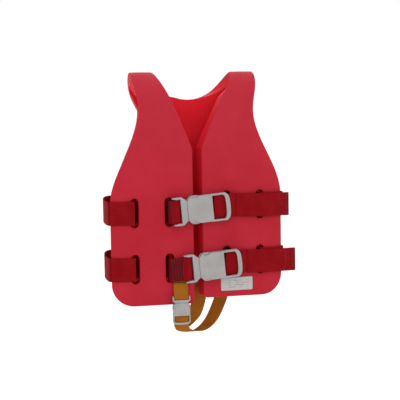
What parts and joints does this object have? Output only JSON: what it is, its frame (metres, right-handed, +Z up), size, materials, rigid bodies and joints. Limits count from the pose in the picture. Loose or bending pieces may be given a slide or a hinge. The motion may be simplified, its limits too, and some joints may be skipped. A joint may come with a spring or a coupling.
{
  "type": "foam swim vest",
  "caption": "Child's sleeveless foam buoyancy vest with a V neck, woven red belts with white side-release buckles, and an adjustable crotch strap.",
  "frame": {"origin": "midway between the shoulders, level with the inside top of the two shoulder folds, halfway between the front and the back", "axes": "+Z up when worn; the front faces -Y; +X is the wearer's left, on the viewer's right"},
  "size_m": [0.3299, 0.1041, 0.4474],
  "materials": {
    "foam": "matte",
    "belt_webbing": "matte",
    "crotch_webbing": "matte",
    "buckle_plastic": "satin",
    "label": "matte"
  },
  "bodies": {
    "back": {"back_panel": "foam", "upper_belt_back": "belt_webbing", "lower_belt_back": "belt_webbing", "upper_belt_side_right": "belt_webbing", "upper_belt_side_left": "belt_webbing", "lower_belt_side_right": "belt_webbing", "lower_belt_side_left": "belt_webbing", "crotch_strap_rear": "crotch_webbing"},
    "front_right": {"front_panel_right": "foam", "upper_belt_front_right": "belt_webbing", "lower_belt_front_right": "belt_webbing", "upper_belt_plug_loop": "belt_webbing", "lower_belt_plug_loop": "belt_webbing", "crotch_hanger": "crotch_webbing", "crotch_buckle_plug": "buckle_plastic"},
    "front_left": {"front_panel_left": "foam", "label": "label", "upper_belt_front_left": "belt_webbing", "lower_belt_front_left": "belt_webbing", "upper_belt_adjuster_wrap": "belt_webbing", "lower_belt_adjuster_wrap": "belt_webbing", "upper_belt_tail": "belt_webbing", "lower_belt_tail": "belt_webbing", "upper_buckle_socket": "buckle_plastic", "lower_buckle_socket": "buckle_plastic"},
    "upper_plug": {"upper_buckle_plug": "buckle_plastic"},
    "lower_plug": {"lower_buckle_plug": "buckle_plastic"},
    "upper_top_arm": {"upper_buckle_top_arm": "buckle_plastic"},
    "upper_bottom_arm": {"upper_buckle_bottom_arm": "buckle_plastic"},
    "lower_top_arm": {"lower_buckle_top_arm": "buckle_plastic"},
    "lower_bottom_arm": {"lower_buckle_bottom_arm": "buckle_plastic"},
    "crotch_socket": {"crotch_buckle_socket": "buckle_plastic", "crotch_strap_front": "crotch_webbing", "crotch_tail": "crotch_webbing"},
    "crotch_left_arm": {"crotch_buckle_left_arm": "buckle_plastic"},
    "crotch_right_arm": {"crotch_buckle_right_arm": "buckle_plastic"}
  },
  "joints": [
    {"name": "right_front_spread", "type": "hinge", "parent": "back", "child": "front_right", "pos_m": [-0.088, 0, -0.008], "axis": [0, 1, 0], "range_deg": [0, 12], "stiffness_Nm_per_rad": 2, "springref_deg": -1.72, "deforming": ["upper_belt_side_right", "lower_belt_side_right", "crotch_strap_rear"]},
    {"name": "left_front_spread", "type": "hinge", "parent": "back", "child": "front_left", "pos_m": [0.088, 0, -0.008], "axis": [0, -1, 0], "range_deg": [0, 12], "stiffness_Nm_per_rad": 2, "springref_deg": -1.72, "deforming": ["upper_belt_side_left", "lower_belt_side_left"]},
    {"name": "upper_plug_slide", "type": "slide", "parent": "front_right", "child": "upper_plug", "axis": [-0.9965, 0, -0.0837], "range_m": [0, 0.026], "deforming": ["upper_belt_plug_loop"]},
    {"name": "upper_top_arm_press", "type": "hinge", "parent": "upper_plug", "child": "upper_top_arm", "pos_m": [-0.02089, -0.0515, -0.19821], "axis": [0, 1, 0], "range_deg": [0, 7], "stiffness_Nm_per_rad": 0.3, "deforming": ["upper_buckle_top_arm"]},
    {"name": "upper_bottom_arm_press", "type": "hinge", "parent": "upper_plug", "child": "upper_bottom_arm", "pos_m": [-0.01897, -0.0515, -0.22113], "axis": [0, -1, 0], "range_deg": [0, 7], "stiffness_Nm_per_rad": 0.3, "deforming": ["upper_buckle_bottom_arm"]},
    {"name": "lower_plug_slide", "type": "slide", "parent": "front_right", "child": "lower_plug", "axis": [-0.9965, 0, -0.0837], "range_m": [0, 0.026], "deforming": ["lower_belt_plug_loop"]},
    {"name": "lower_top_arm_press", "type": "hinge", "parent": "lower_plug", "child": "lower_top_arm", "pos_m": [-0.00196, -0.0515, -0.29612], "axis": [0, 1, 0], "range_deg": [0, 7], "stiffness_Nm_per_rad": 0.3, "deforming": ["lower_buckle_top_arm"]},
    {"name": "lower_bottom_arm_press", "type": "hinge", "parent": "lower_plug", "child": "lower_bottom_arm", "pos_m": [-0.00003, -0.0515, -0.31904], "axis": [0, -1, 0], "range_deg": [0, 7], "stiffness_Nm_per_rad": 0.3, "deforming": ["lower_buckle_bottom_arm"]},
    {"name": "crotch_socket_slide", "type": "slide", "parent": "front_right", "child": "crotch_socket", "axis": [0, 0, -1], "range_m": [0, 0.02], "deforming": ["crotch_strap_front"]},
    {"name": "crotch_left_arm_press", "type": "hinge", "parent": "front_right", "child": "crotch_left_arm", "pos_m": [-0.02558, -0.05, -0.3675], "axis": [0, 1, 0], "range_deg": [0, 7], "stiffness_Nm_per_rad": 0.3, "deforming": ["crotch_buckle_left_arm"]},
    {"name": "crotch_right_arm_press", "type": "hinge", "parent": "front_right", "child": "crotch_right_arm", "pos_m": [-0.04042, -0.05, -0.3675], "axis": [0, -1, 0], "range_deg": [0, 7], "stiffness_Nm_per_rad": 0.3, "deforming": ["crotch_buckle_right_arm"]}
  ]
}
